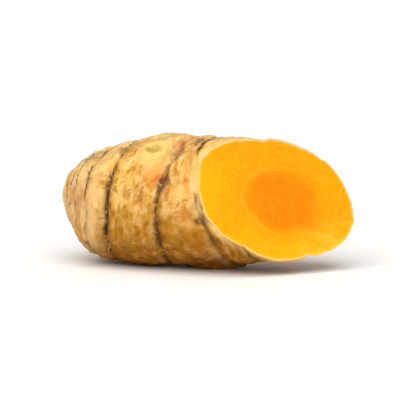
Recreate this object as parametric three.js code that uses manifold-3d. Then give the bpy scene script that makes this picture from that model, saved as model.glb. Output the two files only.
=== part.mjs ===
// A thick fresh turmeric root (a rhizome) cut in two: the tip half, lying on its side.
// Millimetres, +Z up. It grows along +X to the knife cut, and its front is towards -Y.
// A place on the skin is (s, turn): s is the distance grown from the tip, and turn goes
// round the spine, 0 on top, 90 degrees at the front, 180 below and 270 at the back.

import * as THREE from 'three';
import { mergeVertices } from 'three/addons/utils/BufferGeometryUtils.js';
import Module from 'manifold-3d';

const wasm = await Module();
wasm.setup();

const degrees = THREE.MathUtils.degToRad;

// Body
const GIRTH = 26; // greatest thickness
const DOME = 18.6; // length of the rounded tip
const BLUNTNESS = 2.2; // 2 is half an ellipsoid, more is blunter
const GROWN = 66; // length grown before the cut
const THINNING = 0.115; // share of the girth lost towards the older end
const RISE = degrees(3); // the spine climbs from the tip to the cut
const SEAT = -12.4; // height of the surface it lies on, from the tip of the spine

// Cross-section: broad swellings round it, each a share of the radius
const SWELLINGS = [
  { turn: degrees(50), width: degrees(26), share: 0.03 },
  { turn: degrees(-58), width: degrees(30), share: 0.052 },
  { turn: degrees(128), width: degrees(30), share: 0.018 },
  { turn: degrees(212), width: degrees(22), share: 0.012 },
];
const CREST = { s: 31, reach: 9, turn: degrees(5), width: degrees(40), share: 0.024 };
const FLATS = [
  { turn: 0, width: degrees(60), share: 0.03 },
  { turn: degrees(165), width: degrees(50), share: 0.022 },
];
const FLATS_FROM = 38; // where the top and the underside begin to flatten
const FLATS_OVER = 10;

// Knife cut
const CUT_AT = 47.5; // where it crosses the spine
const CUT_SWING = degrees(42.5); // turned from square, to the front
const CUT_TILT = degrees(20.2); // tipped up

// Growth rings, each the scar of a leaf: how far they lean up and to the front is in mm
// of s for each mm away from the spine
const RINGS = [
  { s: 3.0, up: 0.0, front: 0.0, depth: 0.22 },
  { s: 10.9, up: 0.12, front: -0.17, depth: 0.4 },
  { s: 15.4, up: 0.155, front: -0.075, depth: 0.9 },
  { s: 27.1, up: 0.21, front: -0.09, depth: 0.65 },
  { s: 35.7, up: -0.2, front: -0.02, depth: 0.55 },
  { s: 43.6, up: 0.02, front: 0.0, depth: 0.18 },
  { s: 53.0, up: 0.0, front: 0.0, depth: 0.3 },
];
const GROOVE = 0.45; // half width of the cleft at a ring
const SHOULDER = 1.9; // half width of the waist round it
const LIP_AT = 0.95; // the leaf scar's edge stands just past the cleft
const LIP = 0.55;
const BULGE = 0.045; // how far the skin bulges between two rings, for each mm between them
const WAVER = 0.3; // how far a ring wavers along the root
const LUMPS = 0.16; // height of the broad lumps of the skin

// Buds and the broken side finger: place, half width over the skin and height
const BUD = { s: 22.5, turn: degrees(37), reach: 2.9, height: 0.85, power: 4 };
const BUD_DIMPLE = { s: 22.5, turn: degrees(37), reach: 1.3, height: -0.5, power: 4 };
const BACK_BUD = { s: 10.8, turn: degrees(225), reach: 2.2, height: 1.5, power: 2 };
const LATE_BUD = { s: 39.5, turn: degrees(292), reach: 1.9, height: 1.0, power: 2 };
const BROKEN_FINGER = { s: 33.0, turn: degrees(188), reach: 4.4, height: 1.9, power: 6 };
const TIP_SCAR = { reach: 2.6, height: 0.45 };
const TIP_CORNER = { s: 1.2, reach: 1.8, turn: degrees(20), width: degrees(60), height: 0.55 };
const TIP_HOLLOW = { s: 9.5, reach: 5, turn: degrees(5), width: degrees(50), height: -0.5 };

// Root stubs, trimmed short, in a loose row low on the back
const ROOT_STUBS = 6;
const STUBS_FROM = 12.5; // s of the first
const STUB_SPACING = 6.2;
const STUB_TURN = degrees(248);
const STUB_SPREAD = degrees(26); // how far they stray up and down from that turn
const STUB_LENGTH = 2.2;
const STUB_BASE = 0.85; // radius of its foot
const STUB_END = 0.5;
const STUB_DROOP = 0.35; // how far it leans down, in mm for each mm outward
const STUB_SUNK = 1.0; // how deep its foot sits in the body
const STUB_SIDES = 6;

// Fineness of the skin
const AROUND = 88;
const LONGEST_STEP = 2.1;
const RING_STEPS = [-0.95, 0, 0.95, 2.0]; // stations round each ring, from its cleft
const TIP_STATIONS = [0.1, 0.45, 1.1];

const clamp = THREE.MathUtils.clamp;

// The short way round from one turn to another
function turned(from, to) {
  return Math.atan2(Math.sin(to - from), Math.cos(to - from));
}

// 1 at a turn and falling away on both sides of it
function hump(turn, { turn: at, width }) {
  return Math.exp(-((turned(at, turn) / width) ** 2));
}

// 1 at a station and falling away before and after it
function near(s, { s: at, reach }) {
  return Math.exp(-(((s - at) / reach) ** 2));
}

// Mean radius: a blunt dome at the tip, then slowly thinner
function radius(s) {
  const dome = Math.sqrt(1 - (1 - Math.min(s, DOME) / DOME) ** BLUNTNESS);
  const past = clamp((s - DOME) / (GROWN - DOME), 0, 1);
  return (GIRTH / 2) * dome * (1 - THINNING * past ** 1.5);
}

// The cross-section isn't round: shoulders at the front and the back, flatter towards the cut
function share(s, turn) {
  const swollen = SWELLINGS.reduce((sum, place) => sum + place.share * hump(turn, place), 0);
  const crest = CREST.share * hump(turn, CREST) * near(s, CREST);
  const flat = FLATS.reduce((sum, place) => sum + place.share * hump(turn, place), 0);
  const old = clamp((s - FLATS_FROM) / FLATS_OVER, 0, 1.2);
  return 1 + clamp(s / DOME, 0, 1) * (swollen + crest - flat * old);
}

// How the ring at s leans, from the rings on both sides of it
function lean(s, way) {
  const next = RINGS.findIndex((ring) => ring.s > s);
  if (next === 0) return RINGS[0][way];
  if (next < 0) return RINGS.at(-1)[way];
  const before = RINGS[next - 1];
  const after = RINGS[next];
  const part = (s - before.s) / (after.s - before.s);
  return THREE.MathUtils.lerp(before[way], after[way], part);
}

// Where the skin grown at s lies along the spine: its ring leans, and wavers in waves of
// three and five round the root that drift from ring to ring
function along(s, turn) {
  const leaning = radius(s) * (lean(s, 'up') * Math.cos(turn) + lean(s, 'front') * Math.sin(turn));
  const waver = Math.sin(3 * turn + 0.233 * s) + 0.6 * Math.sin(5 * turn - 0.144 * s + 1);
  return s + leaning + WAVER * waver * clamp(s / 10, 0, 1);
}

// A raised or sunken spot on the skin
function spot(s, turn, { s: at, turn: side, reach, height, power }) {
  const across = Math.max(radius(s), 1) * turned(side, turn);
  const away = Math.hypot(s - at, across);
  return height * Math.exp(-((away / reach) ** power));
}

// A ring: a narrow cleft in a wider waist, with the leaf scar's lip beyond it
function ringRelief(s, { s: at, depth }) {
  const x = s - at;
  const cleft = 0.55 * Math.exp(-((x / GROOVE) ** 2)) + 0.45 * Math.exp(-((x / SHOULDER) ** 2));
  return depth * (0.3 * Math.exp(-(((x - LIP_AT) / LIP) ** 2)) - cleft);
}

// Height of the skin over the plain body
function relief(s, turn) {
  let height = RINGS.reduce((sum, ring) => sum + ringRelief(s, ring), 0);
  for (let k = 1; k < RINGS.length; k += 1) {
    const gap = RINGS[k].s - RINGS[k - 1].s;
    const part = clamp((s - RINGS[k - 1].s) / gap, 0, 1);
    height += BULGE * gap * Math.sin(Math.PI * part);
  }
  for (const mark of [BUD, BUD_DIMPLE, BACK_BUD, LATE_BUD, BROKEN_FINGER]) {
    height += spot(s, turn, mark);
  }
  height += TIP_SCAR.height * Math.exp(-((radius(s) / TIP_SCAR.reach) ** 4));
  for (const place of [TIP_CORNER, TIP_HOLLOW]) {
    height += place.height * near(s, place) * hump(turn, place);
  }
  const lumps = Math.sin(0.31 * s + 2 * turn + 0.6) + 0.8 * Math.sin(0.52 * s - 3 * turn + 2.1);
  return height + LUMPS * lumps * clamp(s / DOME, 0, 1);
}

// A point lifted off the skin, from the tip of the spine: +X along it, -Y front, +Z up
function onSkin(s, turn, lift = 0) {
  const step = 0.001;
  const rate = (radius(s + step) - radius(Math.max(s - step, 0))) / (s < step ? step * step : 2 * step);
  const slope = Math.hypot(1, rate);
  const height = relief(s, turn) + lift;
  const out = radius(s) * share(s, turn) + height / slope;
  const forward = along(s, turn) - (height * rate) / slope;
  return new THREE.Vector3(forward, -out * Math.sin(turn), out * Math.cos(turn));
}

// Stations along the body: round every ring, and never far apart
function stations() {
  const marks = RINGS.flatMap((ring) => RING_STEPS.map((step) => ring.s + step));
  const fixed = [...TIP_STATIONS, ...marks, GROWN].sort((a, b) => a - b);
  return fixed.flatMap((s, k) => {
    if (k === 0) return [s];
    const gap = s - fixed[k - 1];
    const parts = Math.ceil(gap / LONGEST_STEP);
    return Array.from({ length: parts }, (_, n) => fixed[k - 1] + (gap * (n + 1)) / parts);
  });
}

// The whole body as grown: a closed grid from the tip to the older end
function grownBody() {
  const rows = stations();
  const points = [onSkin(0, 0)];
  for (const s of rows) {
    for (let k = 0; k < AROUND; k += 1) points.push(onSkin(s, (2 * Math.PI * k) / AROUND));
  }
  points.push(new THREE.Vector3(GROWN, 0, 0));
  const end = points.length - 1;
  const at = (row, k) => 1 + row * AROUND + (k % AROUND);
  const faces = [];
  for (let k = 0; k < AROUND; k += 1) {
    faces.push(0, at(0, k + 1), at(0, k));
    for (let row = 1; row < rows.length; row += 1) {
      faces.push(at(row - 1, k), at(row, k + 1), at(row, k));
      faces.push(at(row - 1, k), at(row - 1, k + 1), at(row, k + 1));
    }
    faces.push(end, at(rows.length - 1, k), at(rows.length - 1, k + 1));
  }
  const geometry = new THREE.BufferGeometry().setFromPoints(points).setIndex(faces);
  return geometry.rotateY(-RISE);
}

// One trimmed root: a short six-sided peg, its foot sunk in the skin
function rootStub(s, turn, length) {
  const peg = new THREE.CylinderGeometry(STUB_END, STUB_BASE, length + STUB_SUNK, STUB_SIDES);
  const foot = onSkin(s, turn);
  const outward = onSkin(s, turn, 1).sub(foot).add(new THREE.Vector3(0, 0, -STUB_DROOP)).normalize();
  peg.translate(0, (length - STUB_SUNK) / 2, 0);
  peg.applyQuaternion(new THREE.Quaternion().setFromUnitVectors(new THREE.Vector3(0, 1, 0), outward));
  return peg.translate(foot.x, foot.y, foot.z).rotateY(-RISE);
}

// They stay clear of the surface that the root lies on
function rootStubs() {
  return Array.from({ length: ROOT_STUBS }, (_, k) => {
    const turn = STUB_TURN + STUB_SPREAD * Math.sin(2.4 * k);
    const length = STUB_LENGTH * (0.75 + 0.25 * Math.cos(1.9 * k));
    return rootStub(STUBS_FROM + STUB_SPACING * k, turn, length);
  });
}

function solid(geometry) {
  const bare = geometry.clone();
  bare.deleteAttribute('normal');
  bare.deleteAttribute('uv');
  const merged = mergeVertices(bare);
  return new wasm.Manifold(new wasm.Mesh({
    numProp: 3,
    vertProperties: merged.attributes.position.array,
    triVerts: new Uint32Array(merged.index.array),
  }));
}

function geometryOf(shape) {
  const { numProp, vertProperties, triVerts } = shape.getMesh();
  const geometry = new THREE.BufferGeometry();
  geometry.setAttribute('position', new THREE.BufferAttribute(new Float32Array(vertProperties), numProp));
  geometry.setIndex(new THREE.BufferAttribute(new Uint32Array(triVerts), 1));
  return geometry;
}

// Everything on the far side of a plane: through a point, and facing outward
function beyond(point, outward) {
  const block = 4 * GROWN;
  const half = new THREE.BoxGeometry(block, block, block).translate(block / 2, 0, 0);
  half.applyQuaternion(new THREE.Quaternion().setFromUnitVectors(new THREE.Vector3(1, 0, 0), outward));
  return solid(half.translate(point.x, point.y, point.z));
}

const cutPoint = new THREE.Vector3(CUT_AT * Math.cos(RISE), 0, CUT_AT * Math.sin(RISE));
const cutFacing = new THREE.Vector3(
  Math.cos(CUT_TILT) * Math.cos(CUT_SWING),
  -Math.cos(CUT_TILT) * Math.sin(CUT_SWING),
  Math.sin(CUT_TILT),
);

let root = solid(grownBody());
for (const stub of rootStubs()) root = root.add(solid(stub));
root = root.subtract(beyond(cutPoint, cutFacing));
root = root.subtract(beyond(new THREE.Vector3(0, 0, SEAT), new THREE.Vector3(0, 0, -1)));

// The origin is under the middle of the root, on the surface it lies on
const geometry = geometryOf(root);
geometry.computeBoundingBox();
const middle = geometry.boundingBox.getCenter(new THREE.Vector3());
geometry.translate(-middle.x, -middle.y, -geometry.boundingBox.min.z);

const turmericRoot = new THREE.Mesh(
  geometry,
  new THREE.MeshStandardMaterial({ color: 0xd9a253, roughness: 0.65, metalness: 0 }),
);
turmericRoot.name = 'turmeric_root';

const group = new THREE.Group();
group.add(turmericRoot);

export default group;
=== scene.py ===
from itertools import product

import bpy
import numpy as np
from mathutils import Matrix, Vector


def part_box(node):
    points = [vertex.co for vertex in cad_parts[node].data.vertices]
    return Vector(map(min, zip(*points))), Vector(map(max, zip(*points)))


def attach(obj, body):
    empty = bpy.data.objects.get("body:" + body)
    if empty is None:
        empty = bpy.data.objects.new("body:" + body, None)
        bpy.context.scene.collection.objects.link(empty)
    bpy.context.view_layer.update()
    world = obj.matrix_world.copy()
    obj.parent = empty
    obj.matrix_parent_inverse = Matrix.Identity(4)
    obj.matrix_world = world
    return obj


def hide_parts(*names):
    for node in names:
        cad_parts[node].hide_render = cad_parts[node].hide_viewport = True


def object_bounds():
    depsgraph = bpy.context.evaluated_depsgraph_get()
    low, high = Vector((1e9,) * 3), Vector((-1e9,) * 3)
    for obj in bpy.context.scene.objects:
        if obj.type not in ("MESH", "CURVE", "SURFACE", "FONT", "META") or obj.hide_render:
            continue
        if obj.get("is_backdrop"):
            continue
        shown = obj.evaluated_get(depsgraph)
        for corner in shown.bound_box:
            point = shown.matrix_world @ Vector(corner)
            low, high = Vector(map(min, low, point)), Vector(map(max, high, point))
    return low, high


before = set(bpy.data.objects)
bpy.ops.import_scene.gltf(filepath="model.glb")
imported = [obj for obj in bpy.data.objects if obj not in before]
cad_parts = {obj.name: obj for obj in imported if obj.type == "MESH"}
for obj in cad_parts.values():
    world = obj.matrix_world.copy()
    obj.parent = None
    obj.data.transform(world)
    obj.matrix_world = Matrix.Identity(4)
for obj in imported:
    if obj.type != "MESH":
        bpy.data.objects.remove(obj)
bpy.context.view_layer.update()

# The growth of the root: a thick rhizome, one body from skin to core. It pushes forward at a
# blunt tip and leaves a ring wherever a leaf was, so every mark on it follows how it grew.
# A place on the skin is (s, turn): mm grown from the tip, and radians round the spine, 0 on
# top, a quarter turn at the front. Lengths are in mm up to the stage, as the scars are small.
MM = 0.001
GIRTH = 26.0
DOME = 18.6  # length of the rounded tip
STEADY_AT = 10.0  # from here on the rings waver in full
BLUNTNESS = 2.2
GROWN = 66.0
THINNING = 0.115
RISE = np.radians(3.0)  # the spine climbs from the tip to the cut
SEAT = -12.4  # height of the surface it lies on, from the tip of the spine
CUT_AT = 47.5
CUT_SWING = np.radians(42.5)
CUT_TILT = np.radians(20.2)
SWELLINGS = [(50, 26, 0.030), (-58, 30, 0.052), (128, 30, 0.018), (212, 22, 0.012)]  # turn, width, share
FLATS = [(0, 60, 0.030), (165, 50, 0.022)]
FLATS_FROM, FLATS_OVER = 38.0, 10.0
CREST_AT, CREST_REACH, CREST = 31.0, 9.0, (5, 40, 0.024)  # s and reach, then as a swelling
RINGS = np.array([  # s, lean up, lean to the front, depth
    [3.0, 0.00, 0.00, 0.22],
    [10.9, 0.12, -0.17, 0.40],
    [15.4, 0.155, -0.075, 0.90],
    [27.1, 0.21, -0.09, 0.65],
    [35.7, -0.20, -0.02, 0.55],
    [43.6, 0.02, 0.00, 0.18],
    [53.0, 0.00, 0.00, 0.30],
])
CLEFT, WAIST = 0.45, 1.9  # half widths of a ring's cleft and of the waist round it
CLEFT_SHARE, WAIST_SHARE = 0.55, 0.45  # of the ring's depth
LIP_AT, LIP, LIP_SHARE = 0.95, 0.55, 0.3
BULGE, WAVER, LUMPS = 0.045, 0.3, 0.16
WAVER_WAVES = [(1, 3, 0.233, 0), (0.6, 5, -0.144, 1)]  # height, times round, radians a mm, start
LUMP_WAVES = [(1, 2, 0.31, 0.6), (0.8, -3, 0.52, 2.1)]
BUD, BACK_BUD, LATE_BUD, BROKEN_FINGER = (22.5, 37), (10.8, 225), (39.5, 292), (33.0, 188)
SPOTS = [  # s, turn, reach, height, power
    (*BUD, 2.9, 0.85, 4), (*BUD, 1.3, -0.5, 4), (*BACK_BUD, 2.2, 1.5, 2), (*LATE_BUD, 1.9, 1.0, 2),
    (*BROKEN_FINGER, 4.4, 1.9, 6),
]
TIP_SCAR_REACH, TIP_SCAR = 2.6, 0.45
TIP_SHAPE = [(1.2, 1.8, 20, 60, 0.55), (9.5, 5.0, 5, 50, -0.5)]  # s, reach, turn, width, height


def turned(start, turn):
    """The short way round from one turn to another, in radians."""
    return np.angle(np.exp(1j * (turn - start)))


def bell(distance, reach, power=2):
    """1 at no distance and falling away on both sides; a higher power gives a flatter top."""
    return np.exp(-((distance / reach) ** power))


def hump(turn, at, width):
    """1 at a turn and falling away on both sides of it as a bell; at and width in degrees."""
    return bell(turned(np.radians(at), turn), np.radians(width))


def waves(kinds, s, turn):
    """A sum of sine waves that wind round the root as they run along it."""
    return sum(height * np.sin(times * turn + pace * s + start) for height, times, pace, start in kinds)


def radius(s):
    """Mean radius: a superellipse dome over the tip, then slowly thinner."""
    dome = np.sqrt(1 - (1 - np.clip(s, 0, DOME) / DOME) ** BLUNTNESS)
    past = np.clip((s - DOME) / (GROWN - DOME), 0, 1)
    return GIRTH / 2 * dome * (1 - THINNING * past ** 1.5)


def share(s, turn):
    """Radius at a turn as a share of the mean: broad swellings, and flats towards the cut."""
    swollen = sum(part * hump(turn, at, width) for at, width, part in SWELLINGS)
    crest = CREST[2] * hump(turn, *CREST[:2]) * bell(s - CREST_AT, CREST_REACH)
    flat = sum(part * hump(turn, at, width) for at, width, part in FLATS)
    old = np.clip((s - FLATS_FROM) / FLATS_OVER, 0, 1.2)
    return 1 + np.clip(s / DOME, 0, 1) * (swollen + crest - flat * old)


def along(s, turn):
    """Where the skin grown at s lies along the spine: its ring leans, and wavers round the root."""
    up, front = (np.interp(s, RINGS[:, 0], RINGS[:, column]) for column in (1, 2))
    leaning = radius(s) * (up * np.cos(turn) + front * np.sin(turn))
    return s + leaning + WAVER * waves(WAVER_WAVES, s, turn) * np.clip(s / STEADY_AT, 0, 1)


def over_skin(s, turn, at, side):
    """Distance over the skin from a mark at s = at and a turn in degrees, in mm."""
    return np.hypot(s - at, np.maximum(radius(s), 1) * turned(np.radians(side), turn))


def form(s, turn):
    """Height of the solid's own relief: rings, the bulges between them, buds and lumps."""
    past = s[..., None] - RINGS[:, 0]
    cleft = CLEFT_SHARE * bell(past, CLEFT) + WAIST_SHARE * bell(past, WAIST)
    lip = LIP_SHARE * bell(past - LIP_AT, LIP)
    height = ((lip - cleft) * RINGS[:, 3]).sum(-1)
    starts, gaps = RINGS[:-1, 0], np.diff(RINGS[:, 0])
    part = np.clip((s[..., None] - starts) / gaps, 0, 1)
    height += (BULGE * gaps * np.sin(np.pi * part)).sum(-1)
    for at, side, reach, rise, power in SPOTS:
        height += rise * bell(over_skin(s, turn, at, side), reach, power)
    height += TIP_SCAR * bell(radius(s), TIP_SCAR_REACH, 4)
    for at, reach, side, width, rise in TIP_SHAPE:
        height += rise * bell(s - at, reach) * hump(turn, side, width)
    return height + LUMPS * waves(LUMP_WAVES, s, turn) * np.clip(s / DOME, 0, 1)


def skin(s, turn, height):
    """Points in mm from the tip of the spine, lifted by height off the plain body of revolution."""
    step = 0.001
    below = np.maximum(s - step, 0)
    rate = (radius(s + step) - radius(below)) / np.maximum(s + step - below, step)
    slope = np.hypot(1, rate)
    out = radius(s) * share(s, turn) + height / slope
    forward = along(s, turn) - height * rate / slope
    side, up = -out * np.sin(turn), out * np.cos(turn)
    x = forward * np.cos(RISE) - up * np.sin(RISE)
    z = forward * np.sin(RISE) + up * np.cos(RISE)
    return np.stack([x, side, z], -1)


CUT_POINT = np.array([CUT_AT * np.cos(RISE), 0, CUT_AT * np.sin(RISE)])
CUT_FACING = np.array([
    np.cos(CUT_TILT) * np.cos(CUT_SWING),
    -np.cos(CUT_TILT) * np.sin(CUT_SWING),
    np.sin(CUT_TILT),
])


CORNERS = 48  # along each side of the noise's lattice, which then repeats


def noise(points, cell, seed):
    """Value noise, -1 to 1: a random value at each corner of a lattice, blended by 3t2 - 2t3."""
    lattice = np.random.default_rng(seed).uniform(-1, 1, (CORNERS, CORNERS, CORNERS))
    place = points / cell
    corner = np.floor(place).astype(int)
    t = place - corner
    t = t * t * (3 - 2 * t)
    total = 0
    for step in product((0, 1), repeat=3):
        weight = np.where(step, t, 1 - t).prod(-1)
        total = total + weight * lattice[tuple(np.moveaxis((corner + step) % CORNERS, -1, 0))]
    return total


def grown(s, turn):
    """Growth coordinates: s, and the mean radius to the front and up. They follow the skin with no seam."""
    return np.stack([s + 0 * turn, radius(s) * np.sin(turn), radius(s) * np.cos(turn)], -1)


def ease(low, high, value):
    """0 below low, 1 above high, and 3t2 - 2t3 between them."""
    t = np.clip((value - low) / (high - low), 0, 1)
    return t * t * (3 - 2 * t)


# The skin, as it shows close to: papery cork in thin layers that peel, folded lengthwise and
# crosswise as the root dries, with ragged leaf scars and the small round scars of lost roots.
RAGGED = 0.22  # how far a ring strays from its even course
FOLDS, CROSS_FOLDS, PEBBLES, GRAIN = 0.08, 0.10, 0.10, 0.05  # heights
FOLD, CROSS_FOLD, PEBBLE, SPECK = 0.85, 0.75, 1.9, 0.7  # sizes of one
FOLD_LONG, CROSS_FOLD_LONG = [0.13, 1, 1], [1, 0.12, 0.12]  # squeezed this much, so drawn out
FOLDS_BEND, FOLDS_BEND_OVER = 1.1, 3.7
DRY_PATCH = 6.5
PAPER = 0.06  # thickness of a peeling layer
PAPER_FLAKE, PAPER_EDGE, PAPER_LEFT = 3.4, 0.9, 0.12
ROOT_SCARS = 26
SCAR_RADIUS, SCAR_RIM, SCAR_PIT = 0.62, 0.16, 0.30
BUD_RING, BUD_RING_GAP = 0.07, 1.1  # fine rings of scales round a bud
WITHERED, WITHERED_REACH = (27.9, 67), 1.35  # a dead bud on the second bold ring
WITHERED_RIM, WITHERED_PIT = 0.12, 0.40
ARC_SCAR, ARC_RADIUS, ARC_WIDTH, ARC_DEPTH = (23.6, 74), 1.7, 0.3, 0.16
BARE = [  # where a ring's sheath is rubbed off: ring, turn, half width, share gone
    (4, 52, 30, 1.0), (3, 40, 20, 0.75), (2, 25, 22, 0.5), (1, 98, 34, 0.85),
]
SCALE_RINGS = np.array([1.5, 4.5, 6.1, 7.9])  # close scale scars round the tip bud
SCALE_RING, SCALE_LIP_AT, SCALE_LIP, SCALE_CLEFT = 0.13, 0.45, 0.35, 0.22

chance = np.random.default_rng(5)
scar_s = RINGS[chance.integers(1, 6, ROOT_SCARS), 0] + chance.uniform(0.8, 5.5, ROOT_SCARS)
scar_turn = 205 + 95 * chance.uniform(-1, 1, ROOT_SCARS)
scar_size = SCAR_RADIUS * chance.uniform(0.6, 1.25, ROOT_SCARS)


def paper(s, turn):
    """1 where a peeling layer is still on, 0 where it has come off, with ragged edges."""
    g = grown(s, turn)
    flakes = noise(g * [1, 0.6, 0.6], PAPER_FLAKE, 16) + 0.5 * noise(g, PAPER_EDGE, 17)
    return ease(-0.06, 0.06, flakes + PAPER_LEFT)


def ring_course(s, turn):
    """Growth distance read with the rings' ragged course, so that no ring runs evenly."""
    g = grown(s, turn)
    return s + RAGGED * (noise(g * [0.2, 1, 1], 2.6, 18) + 0.5 * noise(g * [0.2, 1, 1], 0.8, 19))


def worn(turn):
    """Share of each ring's rotted sheath that is still on at a turn, the rings along the last axis."""
    left = np.ones((*np.shape(turn), len(RINGS)))
    for ring, side, width, gone in BARE:
        left[..., ring] -= gone * bell(turned(np.radians(side), turn), np.radians(width), 4)
    return left


def arc(s, turn):
    """1 on the line of a crescent scar, open towards the cut, and falling away beside it."""
    r = over_skin(s, turn, *ARC_SCAR)
    return bell(r - ARC_RADIUS, ARC_WIDTH) * ease(0.4, -0.5, s - ARC_SCAR[0])


def close_relief(s, turn):
    """Height of the skin over the solid's form: folds, pebbles, peeling paper and scars."""
    g = grown(s, turn)
    dry = ease(-0.35, 0.35, noise(g, DRY_PATCH, 11))
    bent = g + FOLDS_BEND * np.stack([noise(g, FOLDS_BEND_OVER, seed) for seed in (38, 39, 40)], -1)
    height = FOLDS * dry * noise(bent * FOLD_LONG, FOLD, 12)
    height += CROSS_FOLDS * (1.1 - dry) * noise(bent * CROSS_FOLD_LONG, CROSS_FOLD, 13)
    height += PEBBLES * noise(g, PEBBLE, 14) + GRAIN * noise(g, SPECK, 15)
    height += PAPER * paper(s, turn)
    past = ring_course(s, turn)[..., None] - SCALE_RINGS
    height += SCALE_RING * (bell(past - SCALE_LIP_AT, SCALE_LIP) - bell(past, SCALE_CLEFT)).sum(-1)
    for at, side, size in zip(scar_s, scar_turn, scar_size):
        r = over_skin(s, turn, at, side) / size
        height += SCAR_RIM * bell(r - 1, 0.35) - SCAR_PIT * bell(r, 0.6, 4)
    for bud, size in (BUD, 1), (BACK_BUD, 0.8), (LATE_BUD, 0.7):
        r = over_skin(s, turn, *bud) / size
        rings_there = ease(0.8, 1.4, r) * (1 - ease(3.2, 4.6, r))
        height += BUD_RING * np.sin(2 * np.pi * r / BUD_RING_GAP) * rings_there
    r = over_skin(s, turn, *WITHERED) / WITHERED_REACH + 0.25 * noise(g, 0.7, 20)
    height += WITHERED_RIM * bell(r - 1.25, 0.25) - WITHERED_PIT * bell(r, 1, 4)
    height -= ARC_DEPTH * arc(s, turn)
    return height * np.clip(radius(s) / 3, 0, 1)


def surface(s, turn, lift=0.0):
    """The finished skin in mm from the tip of the spine, or points lifted off it."""
    return skin(s, turn, form(ring_course(s, turn), turn) + close_relief(s, turn) + lift)


# The root body: skin, knife cut and flesh are one closed surface. The knife is drawn through
# in one stroke, which leaves a nearly flat, moist face with a fine drag pattern.
AROUND, SKIN_ROWS, FACE_ROWS = 360, 228, 43
NEAR_TIP = 0.08  # share of the length over which the rows crowd towards the tip
NEAR_RIM = 0.25  # how far apart the face's rows lie at its edge, against the mean
UNCUT_TO, HALVINGS = 25.0, 26  # the knife passes nowhere nearer to the tip
PLAIN_TO, PLAIN_ROWS = 60.0, 600  # past the knife at every turn
RIM_ROUNDING = 0.112  # how far the skin's last row is set in from the edge, each way
DRAG, DRAG_WIDTH, DRAG_DRAWN_OUT = 0.035, 0.9, 0.08
STROKE_ACROSS, STROKE_UP = 0.94, 0.34
CORE, CORE_SUNK, CORE_RIM = (0.45, 0.56), 0.07, 0.04
CORE_RIM_AT, CORE_RIM_WIDTH = 0.53, 0.03

turns = 2 * np.pi * np.arange(AROUND) / AROUND


def past_cut(s, turn):
    """Signed distance of the skin from the knife's plane, positive on the part cut away."""
    return (surface(s, turn) - CUT_POINT) @ CUT_FACING


inside_s, outside_s = np.full(AROUND, UNCUT_TO), np.full(AROUND, GROWN)
for _ in range(HALVINGS):
    middle = (inside_s + outside_s) / 2
    outside = past_cut(middle, turns) > 0
    inside_s, outside_s = np.where(outside, inside_s, middle), np.where(outside, middle, outside_s)
rim_s = (inside_s + outside_s) / 2

row = np.arange(1, SKIN_ROWS + 1)[:, None] / SKIN_ROWS
rows_s = rim_s * row * row / (row + NEAR_TIP) * (1 + NEAR_TIP)
rows_turn = np.broadcast_to(turns, rows_s.shape)
skin_points = surface(rows_s, rows_turn)
rim = skin_points[-1] - ((skin_points[-1] - CUT_POINT) @ CUT_FACING)[:, None] * CUT_FACING

inward = CUT_POINT - rim
reach = np.linalg.norm(inward, axis=-1, keepdims=True)
row = (np.arange(1, FACE_ROWS + 1) / (FACE_ROWS + 1))[:, None, None]
depth_in = row * (NEAR_RIM + (1 - NEAR_RIM) * row)
face_points = rim + depth_in * inward
face_q = (1 - depth_in[..., 0]) * np.ones_like(turns)
face_edge = (depth_in * reach)[..., 0]
across = np.cross(CUT_FACING, [0, 0, 1])
knife_way = STROKE_ACROSS * across / np.linalg.norm(across) + STROKE_UP * np.array([0, 0, 1])
stroke = (face_points - CUT_POINT) @ knife_way
drag = noise(np.stack([stroke, 0 * stroke, DRAG_DRAWN_OUT * face_points[..., 2]], -1), DRAG_WIDTH, 31)
core_form = CORE_RIM * bell(face_q - CORE_RIM_AT, CORE_RIM_WIDTH) - CORE_SUNK * (1 - ease(*CORE, face_q))
lift = (DRAG * drag + core_form) * ease(0.2, 1.2, face_edge)
face_points = face_points + lift[..., None] * CUT_FACING
skin_points[-1] = rim - RIM_ROUNDING * (CUT_FACING - inward / reach)

centre = CUT_POINT + lift[-1].mean() * CUT_FACING
tip = surface(np.zeros(1), np.zeros(1))[0]
points = np.concatenate([[tip], skin_points.reshape(-1, 3), face_points.reshape(-1, 3), [centre]])
points[:, 2] = np.maximum(points[:, 2], SEAT)

# Its place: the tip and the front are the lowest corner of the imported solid's box
grid_s, grid_turn = np.meshgrid(np.linspace(0, PLAIN_TO, PLAIN_ROWS), turns, indexing="ij")
plain = skin(grid_s, grid_turn, form(grid_s, grid_turn)).reshape(-1, 3)
plain = plain[(plain - CUT_POINT) @ CUT_FACING < 0]
corner = np.array(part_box("turmeric_root")[0]) / MM
PLACE = np.array([corner[0] - plain[:, 0].min(), corner[1] - plain[:, 1].min(), -SEAT])


def tube_faces(rows, around, first=0):
    """Quads between the rows of a closed tube whose points are numbered row by row."""
    start = first + np.arange(rows - 1)[:, None] * around
    here, after = np.arange(around), (np.arange(around) + 1) % around
    ring = np.stack(np.broadcast_arrays(start + here, start + after, start + around + after,
                                        start + around + here), -1)
    return ring.reshape(-1, 4)


def piece(name, points, faces, materials, material_index=None):
    """A smooth-shaded mesh object from points in mm of the root's own frame, put in its place."""
    mesh = bpy.data.meshes.new(name)
    mesh.from_pydata(((points + PLACE) * MM).tolist(), [], faces)
    mesh.polygons.foreach_set("use_smooth", np.ones(len(mesh.polygons), bool))
    for material in materials:
        mesh.materials.append(material)
    if material_index is not None:
        mesh.polygons.foreach_set("material_index", material_index.astype(np.int32))
    made = bpy.data.objects.new(name, mesh)
    bpy.context.scene.collection.objects.link(made)
    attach(made, "root")
    return made


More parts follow.
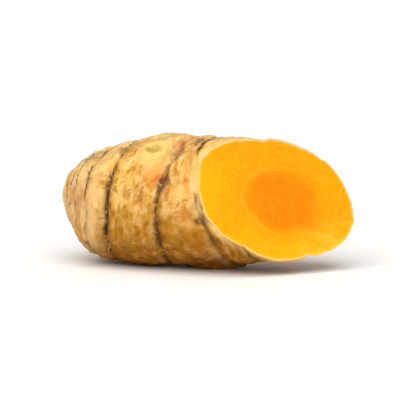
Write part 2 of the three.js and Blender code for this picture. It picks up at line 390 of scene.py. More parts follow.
def mark(made, name, values):
    """Stores a number or a vector for every point of a piece, for its material to read."""
    vector = values.ndim == 2
    layer = made.data.attributes.new(name, "FLOAT_VECTOR" if vector else "FLOAT", "POINT")
    layer.data.foreach_set("vector" if vector else "value", values.astype(np.float32).ravel())


rows = SKIN_ROWS + FACE_ROWS
quads = tube_faces(rows, AROUND, first=1)
last = 1 + (rows - 1) * AROUND
here, after = np.arange(AROUND), (np.arange(AROUND) + 1) % AROUND
tip_fan = np.stack([0 * here, 1 + after, 1 + here], -1)
centre_fan = np.stack([0 * here + len(points) - 1, last + here, last + after], -1)
is_flesh = np.arange(len(quads)) >= (SKIN_ROWS - 1) * AROUND


def linear(hex_colour):
    """An sRGB hex colour as the linear RGBA that shaders work in."""
    srgb = np.frombuffer(bytes.fromhex(hex_colour[1:]), np.uint8) / 255
    return (*np.where(srgb <= 0.04045, srgb / 12.92, ((srgb + 0.055) / 1.055) ** 2.4), 1.0)


def add(tree, kind, inputs, output=0, **settings):
    """Adds a shader node, sets its properties and inputs, by value or link, and returns an output."""
    made = tree.nodes.new("ShaderNode" + kind)
    for key, value in settings.items():
        setattr(made, key, value)
    for key, value in inputs.items():
        if isinstance(value, bpy.types.NodeSocket):
            tree.links.new(value, made.inputs[key])
        else:
            made.inputs[key].default_value = value
    return made.outputs[output] if made.outputs else made


def new_material(name):
    """An empty node material."""
    material = bpy.data.materials.new(name)
    material.use_nodes = True
    material.node_tree.nodes.clear()
    return material


# What marks the skin, each a share from 0 to 1 over the grid of the skin's points
UNBROKEN = np.array([0.5, 0.15, 0.75, 0.5, 0.15, 0.1, 0.2])  # how much of each ring's line shows
DARK_AT = 0.6  # depth at which a ring is dark in full
RING_WIDTH, RING_WIDTH_STRAYS = 0.46, 0.36
EYE_LONG, EYE_WIDE = 1.7, 0.9  # half sizes of the closed tip of the bud
PORES = 0.7  # to the mm

course = ring_course(rows_s, rows_turn)
skin_grown = grown(rows_s, rows_turn)


def uneven(middle, much, cell, seed, squeeze=1):
    """A share that strays from its middle value over patches of the skin, kept from 0 to 1."""
    return np.clip(middle + much * noise(skin_grown * squeeze, cell, seed), 0, 1)


def round_spot(s, turn, full, gone, rough=0.8):
    """1 within full mm of a place on the skin and 0 beyond gone mm, with an uneven edge."""
    return ease(gone, full, over_skin(rows_s, rows_turn, s, turn) + rough * noise(skin_grown, 1.3, 25))


from_ring = course[..., None] - RINGS[:, 0]
from_scale = course[..., None] - SCALE_RINGS
dark = np.clip(RINGS[:, 3] / DARK_AT, 0.3, 1)
ring_width = RING_WIDTH + RING_WIDTH_STRAYS * noise(skin_grown * [0.5, 1, 1], 0.95, 26)[..., None]
kept = UNBROKEN + 1.3 * noise(skin_grown * [0.3, 1, 1], 1.5, 21)[..., None]
kept = np.clip(kept, 0, 1) * worn(rows_turn)
patchy, flecked = uneven(0.5, 0.9, 2.4, 22), uneven(0.5, 1.1, 1.1, 29)
streaked = uneven(0.4, 1.2, 0.7, 30, [1, 0.16, 0.16])
up, front = np.cos(rows_turn + 0.1), np.sin(rows_turn)
# lower: 0 on top to 1 underneath, for painted shade that darkens the rings low down
lower = ease(0.6, -0.5, np.cos(rows_turn))
bud_r = np.min([over_skin(rows_s, rows_turn, *at) / size
                for at, size in [(BUD, 1), (BACK_BUD, 0.62), (LATE_BUD, 0.55)]], axis=0)
bud_r = bud_r + 0.45 * noise(skin_grown, 1.2, 23)
round_bud = GIRTH / 2 * turned(np.radians(BUD[1]), rows_turn)
eye_r = np.hypot((rows_s - BUD[0]) / EYE_LONG, round_bud / EYE_WIDE)
eye_r = eye_r + 0.35 * noise(skin_grown, 0.9, 24)
scar_r = np.min([over_skin(rows_s, rows_turn, at, side) / size
                 for at, side, size in zip(scar_s, scar_turn, scar_size)], axis=0)
withered_r = over_skin(rows_s, rows_turn, *WITHERED) + 0.5 * noise(skin_grown, 0.8, 20)
withered_r = withered_r + 0.5 * noise(skin_grown, 0.6, 37)
stump_r = over_skin(rows_s, rows_turn, *BROKEN_FINGER)
# Painted shade beside each ring on the side towards the cut, where the waist falls away from the cleft
painted_shade_past_ring = (1 - ease(0.2, 2.6, from_ring)) * (from_ring > 0) * dark * worn(rows_turn) * 0.9
smudges = [
    round_spot(33.0, 17, 1.0, 3.8, 1.4), round_spot(28.6, 38, 0.8, 3.2, 1.4),
    0.8 * round_spot(16.0, 30, 0.6, 3.4, 1.6), 0.8 * round_spot(27.8, 50, 0.4, 2.0, 1.2),
]
ring_blobs = [
    round_spot(35.4, 90, 0.2, 1.5), round_spot(35.7, 101, 0.4, 1.6), round_spot(36.4, 123, 0.3, 1.5),
]


# Stains and scars of the skin, and painted light and shade: paler on top and on the ridges, darker low down
# and beside the rings
stains_and_painted_light = {  # share over the skin, and its colour
    # painted light: the skin made paler on top
    "painted light on top": (0.4 * ease(0.6, 1.0, up) * (0.2 + 0.8 * patchy), "#f4dca0"),
    # painted shade: warmer and darker on the lower side
    "painted shade low side": (0.6 * ease(0.1, -0.6, up) * ease(9, 16, rows_s), "#cc8c08"),
    # painted shade: dark brown underneath
    "painted shade underneath": (0.8 * ease(-0.25, -0.95, up) * np.clip(rows_s / 6, 0, 1), "#7a4500"),
    # dark streaks of the skin, laid only towards the bottom as painted shade
    "streaks and painted shade below": (0.55 * ease(0.2, -0.55, up) * streaked, "#945c00"),
    "tip": (0.65 * ease(15, 8, rows_s) * (0.35 + 0.65 * patchy), "#e6c795"),
    # painted highlight on the bulge before the bold ring, on the front
    "painted highlight band": (0.6 * bell(course - 12.8, 1.4) * ease(0.3, 0.9, front) * (0.2 + 0.8 * patchy), "#f9d592"),
    "pink tip": (0.5 * round_spot(8.6, 82, 1.5, 4.6, 1.2), "#b0704c"),
    "grey tip": (0.85 * round_spot(8.6, 27, 1.2, 4.8, 1.5) * flecked, "#8b7650"),
    "band": (0.4 * bell(rows_s - 33.2, 1.0) * ease(0.5, 0.95, front) * patchy, "#dc8238"),
    "blush": (0.8 * round_spot(24.8, 56, 0.6, 3.9), "#f79c44"),
    "red streak": (0.75 * round_spot(26.0, 63, 0.2, 1.5), "#cf5a24"),
    "below the bud": (0.55 * round_spot(23.6, 46, 1.0, 3.4), "#f3c672"),
    "bud collar": (0.9 * ease(4.0, 2.2, bud_r) * (0.75 + 0.25 * flecked), "#f0d078"),
    "bud eye": (0.85 * ease(1.35, 0.35, np.minimum(eye_r, bud_r * 1.1)), "#b08f2c"),
    # painted shade beside the rings
    "painted shade past the ring": (painted_shade_past_ring.max(-1) * (0.4 + 0.6 * patchy), "#8c5719"),
    "ring shade": (0.8 * bell(from_ring[..., 2] + 0.2, 0.65) * ease(0.8, 0.1, up) * (0.4 + 0.6 * patchy),
                   "#845422"),
    # painted highlight on the ridge just before each ring, brighter by the deeper rings
    "crest": ((bell(from_ring + 0.8, 0.5) * dark * 0.35).max(-1) * patchy, "#ffdb9c"),
    "crescent": (0.6 * arc(rows_s, rows_turn) * (0.3 + 0.7 * flecked), "#84511f"),
    "withered bud": (0.85 * ease(2.3, 0.9, withered_r), "#7c5340"),
    "smudges": (0.9 * np.max(smudges, axis=0) * (0.25 + 0.75 * flecked), "#7a5a34"),
    "red top": (0.6 * round_spot(26.6, 24, 0.6, 2.2), "#c9834e"),
    "tip scales": ((0.7 - 0.2 * front) * (bell(from_scale, 0.2) * kept[..., :1]).max(-1), "#6f461c"),
    "ring blobs": (0.85 * np.max(ring_blobs, axis=0), "#68421c"),
    "scar rims": (0.7 * bell(scar_r - 0.75, 0.35), "#7b4c1d"),
    "scar pits": (0.7 * ease(0.55, 0.3, scar_r), "#c9a05c"),
    "finger stump": (0.85 * round_spot(*BROKEN_FINGER, 2.2, 3.6), "#d8922c"),
    "stump rim": (0.8 * bell(stump_r - 3.9, 0.5), "#7c4b1b"),
    # the ring's dark fibre line, made darker low down by painted shade
    "ring": ((bell(from_ring, ring_width) * kept * dark).max(-1) * (0.75 + 0.25 * lower), "#56300c"),
    # painted shade in the ring clefts on the lower side
    "painted shade in lower ring clefts": ((bell(from_ring, 0.5) * kept * dark).max(-1) * lower * 0.6, "#3a1f06"),
    "cut edge": (0.9 * ease(2.6, 0.7, rim_s - rows_s) * (0.4 + 0.6 * patchy), "#f6cd83"),
}


def lay_tints(tree, colour, tints):
    """Lays tints over a colour, each on an S-curve from nothing at one value of a pattern to its
    most at another: (pattern, nothing at, most at, most, hex colour)."""
    for value, nothing_at, most_at, most, tint in tints:
        much = add(tree, "MapRange", {"Value": value, "From Min": nothing_at, "From Max": most_at,
                                      "To Max": most}, interpolation_type="SMOOTHSTEP")
        colour = add(tree, "Mix", {0: much, 6: colour, 7: linear(tint)}, 2, data_type="RGBA")
    return colour


def lay_marks(tree, colour, marks, breaks):
    """Lays the marks stored on the points over a colour, each broken up by a pattern."""
    for name, (_, tint) in marks.items():
        lying = add(tree, "Attribute", {}, "Fac", attribute_name=name)
        much = add(tree, "Math", {0: lying, 1: breaks}, operation="MULTIPLY", use_clamp=True)
        colour = add(tree, "Mix", {0: much, 6: colour, 7: linear(tint)}, 2, data_type="RGBA")
    return colour


# Cork skin of a fresh rhizome, washed and half dry: tan to straw, olive in places, dull, and
# dark brown where the leaf scars have frayed. Yellow flesh shines through the thin parts.
cork = new_material("fresh turmeric skin")
tree = cork.node_tree
growth = add(tree, "Attribute", {}, "Vector", attribute_name="grown")
pattern = {}
for name, size, stretch, detail in [  # size of a blotch in mm, and how it is drawn out
    ("clouds", 3.2, (1, 1, 1), 4), ("mottle", 0.8, (1, 0.8, 0.8), 5), ("olive", 2.3, (1, 0.6, 0.6), 4),
    ("pink", 2.8, (1, 0.7, 0.7), 3), ("streaks", 0.5, (1, 0.14, 0.14), 4), ("veins", 0.22, (0.1, 1, 1), 3),
    ("dabs", 1.1, (1, 0.5, 0.5), 3), ("cracks", 1.1, (1, 0.6, 0.6), 4),
]:
    stretched = add(tree, "VectorMath", {0: growth, 1: stretch}, operation="MULTIPLY")
    pattern[name] = add(tree, "TexNoise", {"Vector": stretched, "Scale": 0.5 / size, "Detail": detail,
                                           "Roughness": 0.6, "Distortion": 0.35})
pattern["pores"] = add(tree, "TexVoronoi", {"Vector": growth, "Scale": PORES}, "Distance")
level = add(tree, "Math", {0: pattern["cracks"], 1: 0.5}, operation="SUBTRACT")
level = add(tree, "Math", {0: level}, operation="ABSOLUTE")
healed = add(tree, "MapRange", {"Value": pattern["dabs"], "From Min": 0.46, "From Max": 0.53, "To Max": 0.1})
pattern["cracks"] = add(tree, "Math", {0: level, 1: healed}, operation="ADD")
colour = lay_tints(tree, linear("#efb052"), [(pattern[name], *rest) for name, *rest in [
    ("clouds", 0.42, 0.60, 0.65, "#ca8f38"), ("clouds", 0.50, 0.36, 0.60, "#f9c269"),
    ("olive", 0.50, 0.66, 0.55, "#bf9a2e"), ("pink", 0.54, 0.66, 0.50, "#df9450"),
    ("dabs", 0.49, 0.60, 0.60, "#ffd58a"), ("mottle", 0.50, 0.62, 0.65, "#ac6c14"),
    ("mottle", 0.46, 0.36, 0.50, "#fccf82"), ("cracks", 0.030, 0.006, 0.50, "#8a5a20"),
    ("streaks", 0.53, 0.66, 0.30, "#9f6824"), ("streaks", 0.44, 0.34, 0.30, "#ffd892"),
    ("veins", 0.55, 0.70, 0.10, "#98662a"), ("pores", 0.15, 0.07, 0.45, "#7a4f20"),
]])
breaks = add(tree, "MapRange", {"Value": pattern["mottle"], "From Min": 0.3, "From Max": 0.7,
                                "To Min": 0.45, "To Max": 1.35})
# Over it go the stains and scars stored on the points, with painted light on top and on the ridges and
# painted shade low down and beside the rings
colour = lay_marks(tree, colour, stains_and_painted_light, breaks)
height = add(tree, "Math", {0: pattern["veins"], 1: 0.4, 2: pattern["mottle"]}, operation="MULTIPLY_ADD")
height = add(tree, "Math", {0: pattern["streaks"], 1: 0.8, 2: height}, operation="MULTIPLY_ADD")
bump = add(tree, "Bump", {"Height": height, "Strength": 0.7, "Distance": 0.0003})
rough = add(tree, "MapRange", {"Value": pattern["mottle"], "To Min": 0.5, "To Max": 0.8})
shader = add(tree, "BsdfPrincipled", {
    "Base Color": colour, "Roughness": rough, "Normal": bump, "IOR": 1.33,
    "Specular IOR Level": 0.15, "Subsurface Weight": 0.12,
    "Subsurface Radius": (1.0, 0.45, 0.12), "Subsurface Scale": 0.0012,
})
add(tree, "OutputMaterial", {"Surface": shader})

# What marks the cut face, on its own grid: the core, the line round it and the yellower sides
FACE_HALF_HIGH, FACE_HALF_WIDE = 12.0, 14.0
CORE_AT = 0.59  # of the way from the middle to the skin
CORE_OFF_CENTRE = 0.3
CLOUDS, FINE_BLOTS, CUT_FIBRES = 0.30, 1.3, 0.9  # to the mm

face_up = (face_points - CUT_POINT)[..., 2] / FACE_HALF_HIGH
face_left = -(face_points - CUT_POINT)[..., 0] / FACE_HALF_WIDE
core_q = face_q + 0.035 * noise(face_points, 3.2, 32) + 0.022 * noise(face_points, 0.9, 33)
core_q += CORE_OFF_CENTRE * np.clip(face_left + 0.1, 0, 1)
blots = np.clip(0.5 + 0.9 * noise(face_points, 2.2, 34), 0, 1)
scrapes = np.clip(noise(face_points * [0.3, 0.3, 1.6], 0.8, 35) + 0.4, 0, 1)
face_tints = {  # share over the face, and its colour
    "yellow side": (0.75 * ease(0.35, 1.0, face_left) * ease(0.5, 0.8, face_q), "#f9be0c"),
    "yellow foot": (0.75 * ease(-0.25, -0.85, face_up) * (0.5 + 0.5 * blots), "#fcbf14"),
    "orange top": (0.5 * ease(0.3, 0.9, face_up), "#f99d03"),
    "inner cortex": (0.65 * ease(0.80, 0.60, core_q) * (0.5 + 0.5 * blots), "#f99b04"),
    "core": (0.6 * ease(0.66, 0.36, core_q) + 0.25 * ease(0.57, 0.45, core_q), "#f48200"),
    "core blots": (0.2 * ease(0.5, 0.3, core_q) * blots, "#fb9204"),
    "pale line": (0.55 * bell(core_q - CORE_AT, 0.024) * ease(-0.3, 0.4, face_left) * (0.4 + 0.6 * blots),
                  "#ffb83a"),
    "scraped": (0.5 * ease(-0.2, -0.8, face_up) * ease(-0.2, -0.8, face_left) * scrapes, "#ffd85a"),
    "skin line": (0.9 * ease(0.75, 0.3, face_edge + 0.12 * blots), "#f7cf80"),
}

# Cut flesh: wet yellow-orange cortex round a deeper orange core, with a paler line between
# them, dots where the fibres are cut across, and the cut edge of the pale skin.
flesh = new_material("moist turmeric flesh")
tree = flesh.node_tree
place = add(tree, "TexCoord", {}, "Object")
place = add(tree, "VectorMath", {0: place, 1: (1 / MM, 1 / MM, 1 / MM)}, operation="MULTIPLY")
cloudy = add(tree, "TexNoise", {"Vector": place, "Scale": CLOUDS, "Detail": 6, "Roughness": 0.65})
fine = add(tree, "TexNoise", {"Vector": place, "Scale": FINE_BLOTS, "Detail": 4, "Roughness": 0.65})
dots = add(tree, "TexVoronoi", {"Vector": place, "Scale": CUT_FIBRES}, "Distance")
breaks = add(tree, "MapRange", {"Value": cloudy, "From Min": 0.3, "From Max": 0.7,
                                "To Min": 0.75, "To Max": 1.2})
colour = lay_tints(tree, linear("#f6a603"), [
    (cloudy, 0.48, 0.36, 0.35, "#ffb512"), (cloudy, 0.54, 0.68, 0.40, "#ef8f02"),
    (fine, 0.52, 0.68, 0.22, "#ee8a00"), (fine, 0.47, 0.34, 0.25, "#ffc22c"),
])
colour = lay_marks(tree, colour, face_tints, breaks)
colour = lay_tints(tree, colour, [
    (fine, 0.50, 0.68, 0.25, "#f08200"), (fine, 0.48, 0.32, 0.22, "#ffb01e"),
    (dots, 0.22, 0.06, 0.30, "#e87802"),
])
height = add(tree, "Math", {0: fine, 1: cloudy}, operation="ADD")
bump = add(tree, "Bump", {"Height": height, "Strength": 0.45, "Distance": 0.00014})
rough = add(tree, "MapRange", {"Value": fine, "To Min": 0.32, "To Max": 0.55})
shader = add(tree, "BsdfPrincipled", {
    "Base Color": colour, "Roughness": rough, "Normal": bump, "IOR": 1.38,
    "Specular IOR Level": 0.12, "Subsurface Weight": 0.25,
    "Subsurface Radius": (1.0, 0.5, 0.05), "Subsurface Scale": 0.002,
})
add(tree, "OutputMaterial", {"Surface": shader})

body_faces = [*quads.tolist(), *tip_fan.tolist(), *centre_fan.tolist()]
face_kind = np.concatenate([is_flesh, np.zeros(AROUND), np.ones(AROUND)])
body = piece("root_body", points, body_faces, [cork, flesh], face_kind)
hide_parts("turmeric_root")


def on_points(skin_values, face_values=0.0):
    """Values for every point of the body from a grid on the skin and one on the cut face."""
    face_values = np.broadcast_to(face_values, face_q.shape)
    return np.concatenate([skin_values[0, :1], skin_values.ravel(),
                           face_values.ravel(), face_values[-1, :1]])


for name, (share_there, _) in stains_and_painted_light.items():
    mark(body, name, on_points(share_there))
mark(body, "grown", np.concatenate([[[0, 0, 0]], skin_grown.reshape(-1, 3),
                                    face_points.reshape(-1, 3), [centre]]))
for name, (share_there, _) in face_tints.items():
    mark(body, name, on_points(np.zeros_like(rows_s), share_there))

# Root stubs: the thick roots of a rhizome are trimmed short after the harvest. They stand in a
# loose row low on the back, with a collar of skin at the foot and a frayed, darker end.
STUBS, STUBS_FROM, STUB_SPACING = 6, 12.5, 6.2
STUB_TURN, STUB_SPREAD = np.radians(248.0), np.radians(26.0)
STUB_LENGTH, STUB_BASE, STUB_END = 2.2, 0.85, 0.5
STUB_DROOP, STUB_SUNK, STUB_BEND = 0.35, 1.0, 0.12
COLLAR, COLLAR_REACH = 0.32, 0.45  # of skin, round the foot
RIDGES, WRINKLES = 0.035, 0.05
RAGGED_END, END_HOLLOW = (0.10, 0.07), 0.12
END_SPAN = 0.35  # of the stub's length, over which the rows close its end
STUB_SIDES, STUB_ROWS = 28, 22
BARK_GRAIN, BARK_PATCHES = 1.6, 0.5  # to the mm

stub = np.arange(STUBS)
foot_s = STUBS_FROM + STUB_SPACING * stub
foot_turn = STUB_TURN + STUB_SPREAD * np.sin(2.4 * stub)
stub_length = STUB_LENGTH * (0.75 + 0.25 * np.cos(1.9 * stub))
foot = skin(foot_s, foot_turn, form(foot_s, foot_turn))
lifted = skin(foot_s, foot_turn, form(foot_s, foot_turn) + 1)
outward = lifted - foot + STUB_DROOP * np.array([np.sin(RISE), 0, -np.cos(RISE)])
outward /= np.linalg.norm(outward, axis=-1, keepdims=True)
stub_side = np.cross(outward, [1.0, 0, 0])
stub_side /= np.linalg.norm(stub_side, axis=-1, keepdims=True)
stub_other = np.cross(outward, stub_side)


def stub_grid():
    """Each root stub as a tube: t runs from its sunk foot, 0, over the end, 1, to the middle of the
    end, and its radius falls from base to end with a collar at the skin, ridges and a ragged end."""
    t = np.linspace(0, 1 + END_SPAN, STUB_ROWS)[None, :, None]
    round_it = (2 * np.pi * np.arange(STUB_SIDES) / STUB_SIDES)[None, None, :]
    number = stub[:, None, None]
    start, way, side, other = (part[:, None, None] for part in (foot, outward, stub_side, stub_other))
    up = np.minimum(t, 1) * (stub_length[:, None, None] + STUB_SUNK) - STUB_SUNK
    thick = STUB_BASE + (STUB_END - STUB_BASE) * np.minimum(t, 1)
    thick = thick + COLLAR * bell(up, COLLAR_REACH) + RIDGES * np.sin(5 * round_it + 3 * number + 4 * t)
    thick = thick * (1 + WRINKLES * np.sin(9 * round_it + 11 * t + number))
    closing = np.sqrt(np.clip(1 - (np.clip(t - 1, 0, END_SPAN) / END_SPAN) ** 2, 0, 1))
    ragged = RAGGED_END[0] * np.sin(4 * round_it + 2 * number)
    ragged = ragged + RAGGED_END[1] * np.sin(7 * round_it + number)
    up = up + ragged * ease(0.85, 1.0, t) * closing - END_HOLLOW * ease(1.1, 1.35, t)
    spoke = np.cos(round_it)[..., None] * side + np.sin(round_it)[..., None] * other
    bend = STUB_BEND * np.clip(up, 0, None) ** 2 * np.sin(1.7 * number)
    centre_line = start + up[..., None] * way + bend[..., None] * side
    return centre_line + (thick * closing)[..., None] * spoke, np.broadcast_to(t, up.shape)


stub_points, stub_t = stub_grid()
stub_quads = tube_faces(STUB_ROWS - 1, STUB_SIDES)
foot_cap = np.arange(STUB_SIDES)[None]
end_cap = (STUB_ROWS - 2) * STUB_SIDES + foot_cap[:, ::-1]

# Bark of a dried root: dull brown with a fine grain, straw in patches, darker where it has
# frayed at the end, and pale again on the broken wood.
bark = new_material("dry root bark")
tree = bark.node_tree
place = add(tree, "TexCoord", {}, "Object")
place = add(tree, "VectorMath", {0: place, 1: (1 / MM, 1 / MM, 1 / MM)}, operation="MULTIPLY")
broken = add(tree, "Attribute", {}, "Fac", attribute_name="broken")
grain = add(tree, "TexNoise", {"Vector": place, "Scale": BARK_GRAIN, "Detail": 4, "Roughness": 0.6})
patches = add(tree, "TexNoise", {"Vector": place, "Scale": BARK_PATCHES, "Detail": 3, "Roughness": 0.6})
colour = lay_tints(tree, linear("#b98546"), [
    (patches, 0.45, 0.62, 0.6, "#d3a468"), (grain, 0.50, 0.66, 0.6, "#7a4d22"),
    (broken, 0.85, 1.0, 0.8, "#5a3517"), (broken, 1.12, 1.3, 0.7, "#c79a4e"),
])
bump = add(tree, "Bump", {"Height": grain, "Strength": 0.6, "Distance": 0.0002})
shader = add(tree, "BsdfPrincipled", {"Base Color": colour, "Roughness": 0.75, "Normal": bump,
                                      "Specular IOR Level": 0.3})
add(tree, "OutputMaterial", {"Surface": shader})

per_stub = (STUB_ROWS - 1) * STUB_SIDES
stub_faces = []
for number in range(STUBS):
    for group in (stub_quads, foot_cap, end_cap):
        stub_faces += (group + number * per_stub).tolist()
stubs = piece("root_stubs", stub_points[:, :-1].reshape(-1, 3), stub_faces, [bark])
mark(stubs, "broken", stub_t[:, :-1].ravel())

# Leaf-sheath remains: every ring is the scar of a leaf whose sheath has rotted to dark fibres in
# the cleft and to short papery shreds that point to the tip. Some hairs stand off the skin.
FIBRE_COUNT, SHRED_COUNT, HAIR_COUNT = 480, 150, 40
FIBRE_LENGTH, SHRED_LENGTH, HAIR_LENGTH = (1.2, 5.0), (0.4, 1.3), (0.6, 1.9)
FIBRE_WIDTH, SHRED_WIDTH, HAIR_WIDTH = (0.07, 0.17), (0.15, 0.6), (0.05, 0.09)
FIBRE_THICK, SHRED_THICK, HAIR_THICK = (0.06, 0.12), (0.03, 0.06), (0.05, 0.08)
FIBRE_ODDS = [2, 6, 26, 22, 12, 6, 0, 0.4, 1, 1.5, 2]  # on each ring, then on each scale ring
SHRED_ODDS = [1, 10, 26, 22, 12, 6, 0, 0, 0.5, 0.7, 1]
HAIR_ODDS = [1, 8, 14, 14, 10, 4, 0, 0, 0.4, 0.6, 1]
FIBRE_STRAYS, FIBRE_SLANTS, FIBRE_LOOSE = 0.22, 0.28, 0.55
SHRED_SLANTS, SHRED_CURL = 1.1, 0.30
HAIR_STANDS = (0.1, 0.6)
TUFTS = np.array([(8.4, 31)] * 7 + [(33.9, 18)] * 5 + [(16.2, 22)] * 3)  # frayed on top: s, turn
TUFT_REACH, TUFT_TURN = 0.5, 5
STEPS = 6
STRIP_GRAIN = 1.5  # to the mm
INSIDE_CUT, OFF_TABLE = 0.15, 0.1  # strips nearer than this to the cut or the table are left out


def strips(s, turn, lift, wide, thick):
    """Closed tapering strips: a flat diamond section is carried along each path over the skin, one
    path a row, wide across it and thick off it in mm, and shrinks to a point at both ends."""
    line = surface(s, turn, lift)
    off = surface(s, turn, lift + 0.3) - line
    off /= np.linalg.norm(off, axis=-1, keepdims=True)
    across = np.cross(off, np.gradient(line, axis=1))
    across /= np.linalg.norm(across, axis=-1, keepdims=True)
    taper = np.sin(np.pi * np.linspace(0.06, 0.97, s.shape[1])) ** 0.5
    half_wide = (taper * wide[:, None] / 2)[..., None] * across
    half_thick = (taper * thick[:, None] / 2)[..., None] * off
    return np.stack([line + half_wide, line + half_thick, line - half_wide, line - half_thick], axis=2)


def strip_faces(count, steps):
    """Faces of the strips: four long sides each, and a quad at both ends."""
    one = np.concatenate([tube_faces(steps, 4), [[0, 3, 2, 1]], [(steps - 1) * 4 + np.arange(4)]])
    return (one[None] + 4 * steps * np.arange(count)[:, None, None]).reshape(-1, 4).tolist()


def from_rings(count, rng, odds):
    """A ring's ragged place and a turn for each of a count of strips, in clumps with gaps between."""
    rings = np.concatenate([RINGS[:, 0], SCALE_RINGS])
    tries = 6 * count
    ring = rng.choice(len(rings), tries, p=np.array(odds) / np.sum(odds))
    turn = rng.uniform(0, 2 * np.pi, tries)
    at = rings[ring]
    left = np.concatenate([worn(turn), np.ones((tries, len(SCALE_RINGS)))], 1)[np.arange(tries), ring]
    in_clump = noise(grown(at, turn), 2.3, 36) > rng.uniform(-0.25, 0.35, tries)
    still_on = left > rng.uniform(0, 1, tries)
    chosen = np.flatnonzero(in_clump & still_on)[:count]
    at, turn = at[chosen], turn[chosen]
    return at - (ring_course(at, turn) - at), turn


def round_by(distance):
    """The turn that a distance in mm round the root makes, by its mean radius."""
    return distance / (GIRTH / 2)


rng = np.random.default_rng(41)
step = np.linspace(0, 1, STEPS)

# A sheath fibre runs round the root in its ring, and a few stand off it in the middle
at, turn = (value[:, None] for value in from_rings(FIBRE_COUNT, rng, FIBRE_ODDS))
length = rng.uniform(*FIBRE_LENGTH, FIBRE_COUNT)[:, None]
strays = rng.normal(0, FIBRE_STRAYS, FIBRE_COUNT)[:, None]
slants = rng.normal(0, FIBRE_SLANTS, FIBRE_COUNT)[:, None]
loose = FIBRE_LOOSE * rng.uniform(0, 1, FIBRE_COUNT)[:, None] ** 4
fibre_width, fibre_thick = (rng.uniform(*size, FIBRE_COUNT) for size in (FIBRE_WIDTH, FIBRE_THICK))
fibres = strips(at + strays + slants * (step - 0.5), turn + round_by(length) * step,
                0.04 + loose * np.sin(np.pi * step), fibre_width, fibre_thick)

# A shred of leaf scale points to the tip, and curls up from the skin towards its end
at, turn = (value[:, None] for value in from_rings(SHRED_COUNT, rng, SHRED_ODDS))
length = rng.uniform(*SHRED_LENGTH, SHRED_COUNT)[:, None]
slants = rng.normal(0, SHRED_SLANTS, SHRED_COUNT)[:, None]
curl = SHRED_CURL * rng.uniform(0, 1, SHRED_COUNT)[:, None] ** 3
shred_width, shred_thick = (rng.uniform(*size, SHRED_COUNT) for size in (SHRED_WIDTH, SHRED_THICK))
shreds = strips(at + 0.35 - length * step, turn + round_by(length * slants) * step,
                0.02 + (0.03 + curl) * step ** 2, shred_width, shred_thick)

# A root hair leaves its ring to a side or towards the tip, and lifts off the skin
at, turn = from_rings(HAIR_COUNT, rng, HAIR_ODDS)
at = np.append(at, TUFTS[:, 0] + rng.normal(0, TUFT_REACH, len(TUFTS)))[:, None]
turn = np.append(turn, np.radians(TUFTS[:, 1] + rng.normal(0, TUFT_TURN, len(TUFTS))))[:, None]
hair_count = HAIR_COUNT + len(TUFTS)
length = rng.uniform(*HAIR_LENGTH, hair_count)[:, None]
way = rng.uniform(-1, 1, hair_count)[:, None]
stands = rng.uniform(*HAIR_STANDS, hair_count)[:, None]
hair_width, hair_thick = (rng.uniform(*size, hair_count) for size in (HAIR_WIDTH, HAIR_THICK))
hairs = strips(at - length * step * np.sqrt(1 - 0.8 * way ** 2), turn + round_by(length * way) * step,
               0.05 + stands * step ** 1.5, hair_width, hair_thick)

# Dry plant fibre, dull and of uneven tone: dark brown where the sheath has rotted, tan where a
# thin leaf scale has peeled, and brown in the hairs.
for name, finish, strips_made, dark_tint, light_tint in [
    ("ring_fibres", "rotted sheath fibre", fibres, "#452609", "#9a682c"),
    ("scale_shreds", "papery leaf scale", shreds, "#9a6a32", "#e0b06a"),
    ("root_hairs", "dry root hair", hairs, "#5a3a1a", "#b08245"),
]:
    inside = ((strips_made - CUT_POINT) @ CUT_FACING).max((1, 2)) < -INSIDE_CUT
    inside &= strips_made[..., 2].min((1, 2)) > SEAT + OFF_TABLE
    strips_made = strips_made[inside]
    material = new_material(finish)
    tree = material.node_tree
    tone = add(tree, "Attribute", {}, "Fac", attribute_name="tone")
    place = add(tree, "TexCoord", {}, "Object")
    grain = add(tree, "TexNoise", {"Vector": place, "Scale": STRIP_GRAIN / MM, "Detail": 2})
    tone_there = add(tree, "Math", {0: grain, 1: 0.4, 2: tone}, operation="MULTIPLY_ADD")
    much = add(tree, "MapRange", {"Value": tone_there, "From Min": 0.2, "From Max": 1.2})
    colour = add(tree, "Mix", {0: much, 6: linear(dark_tint), 7: linear(light_tint)}, 2, data_type="RGBA")
    shader = add(tree, "BsdfPrincipled", {"Base Color": colour, "Roughness": 0.8,
                                          "Specular IOR Level": 0.25})
    add(tree, "OutputMaterial", {"Surface": shader})
    made = piece(name, strips_made.reshape(-1, 3), strip_faces(len(strips_made), STEPS), [material])
    mark(made, "tone", np.repeat(rng.uniform(0, 1, len(strips_made)), STEPS * 4))

# The stage, in metres: a plain near-white table, broad soft light from above and in front, and
# white air all round, dimmer as a light than it looks.
FLOOR = 4.0  # half its side, m
LIGHT, LIGHT_SPREAD, LIGHT_FROM = 2.5, np.radians(70.0), Vector((0.08, -0.50, 0.86))
AIR_LIGHT = 0.45

floor_mesh = bpy.data.meshes.new("floor")
corners = [(x * FLOOR, y * FLOOR, 0) for x, y in ((-1, -1), (1, -1), (1, 1), (-1, 1))]
floor_mesh.from_pydata(corners, [], [(0, 1, 2, 3)])
floor = bpy.data.objects.new("floor", floor_mesh)
bpy.context.scene.collection.objects.link(floor)
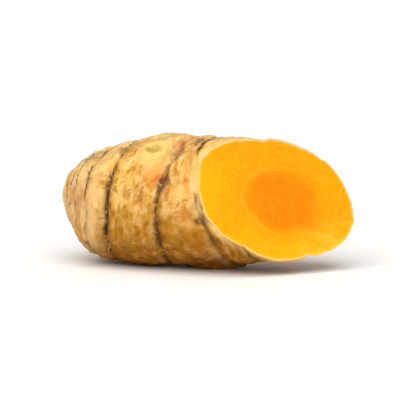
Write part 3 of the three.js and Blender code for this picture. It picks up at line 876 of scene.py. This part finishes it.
# Laminate on a table top: matt and near white, so it takes a soft shadow and mirrors nothing
matt_white = new_material("matt white laminate")
tree = matt_white.node_tree
shader = add(tree, "BsdfPrincipled", {"Base Color": linear("#f7f6f4"), "Roughness": 0.9,
                                      "Specular IOR Level": 0.1})
add(tree, "OutputMaterial", {"Surface": shader})
floor_mesh.materials.append(matt_white)
floor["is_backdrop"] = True

lamp = bpy.data.lights.new("softbox", "SUN")
lamp.energy = LIGHT
lamp.angle = LIGHT_SPREAD
softbox = bpy.data.objects.new("softbox", lamp)
softbox.rotation_euler = LIGHT_FROM.to_track_quat("Z", "Y").to_euler()
bpy.context.scene.collection.objects.link(softbox)

world = bpy.data.worlds.new("white air")
world.use_nodes = True
tree = world.node_tree
tree.nodes.clear()
seen = add(tree, "LightPath", {}, "Is Camera Ray")
strength = add(tree, "MapRange", {"Value": seen, "To Min": AIR_LIGHT, "To Max": 1.0})
air = add(tree, "Background", {"Color": (1, 1, 1, 1), "Strength": strength})
add(tree, "OutputWorld", {"Surface": air})
bpy.context.scene.world = world
bpy.context.scene.view_settings.view_transform = "Standard"

# The camera stands where the photograph's did, seen from the root: a little to the right of
# square on, a little above the table, and closed in on it with a long lens.
AZIMUTH, ELEVATION = np.radians(21.8), np.radians(8.0)
DISTANCE, LENS = 0.52, 230.0  # from the middle of the cut, m, and mm
SENSOR = 36.0
level = np.array([np.sin(AZIMUTH), -np.cos(AZIMUTH), 0])
back = level * np.cos(ELEVATION) + np.array([0, 0, np.sin(ELEVATION)])
low, high = (np.array(corner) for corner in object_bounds())
stand = (CUT_POINT + PLACE) * MM + back * DISTANCE
camera_data = bpy.data.cameras.new("camera")
camera_data.lens = LENS
camera_data.sensor_width = SENSOR
camera_data.clip_start, camera_data.clip_end = 0.01, 20.0
camera = bpy.data.objects.new("camera", camera_data)
camera.location = Vector(stand)
camera.rotation_euler = Vector((low + high) / 2 - stand).to_track_quat("-Z", "Y").to_euler()
bpy.context.scene.collection.objects.link(camera)
bpy.context.scene.camera = camera
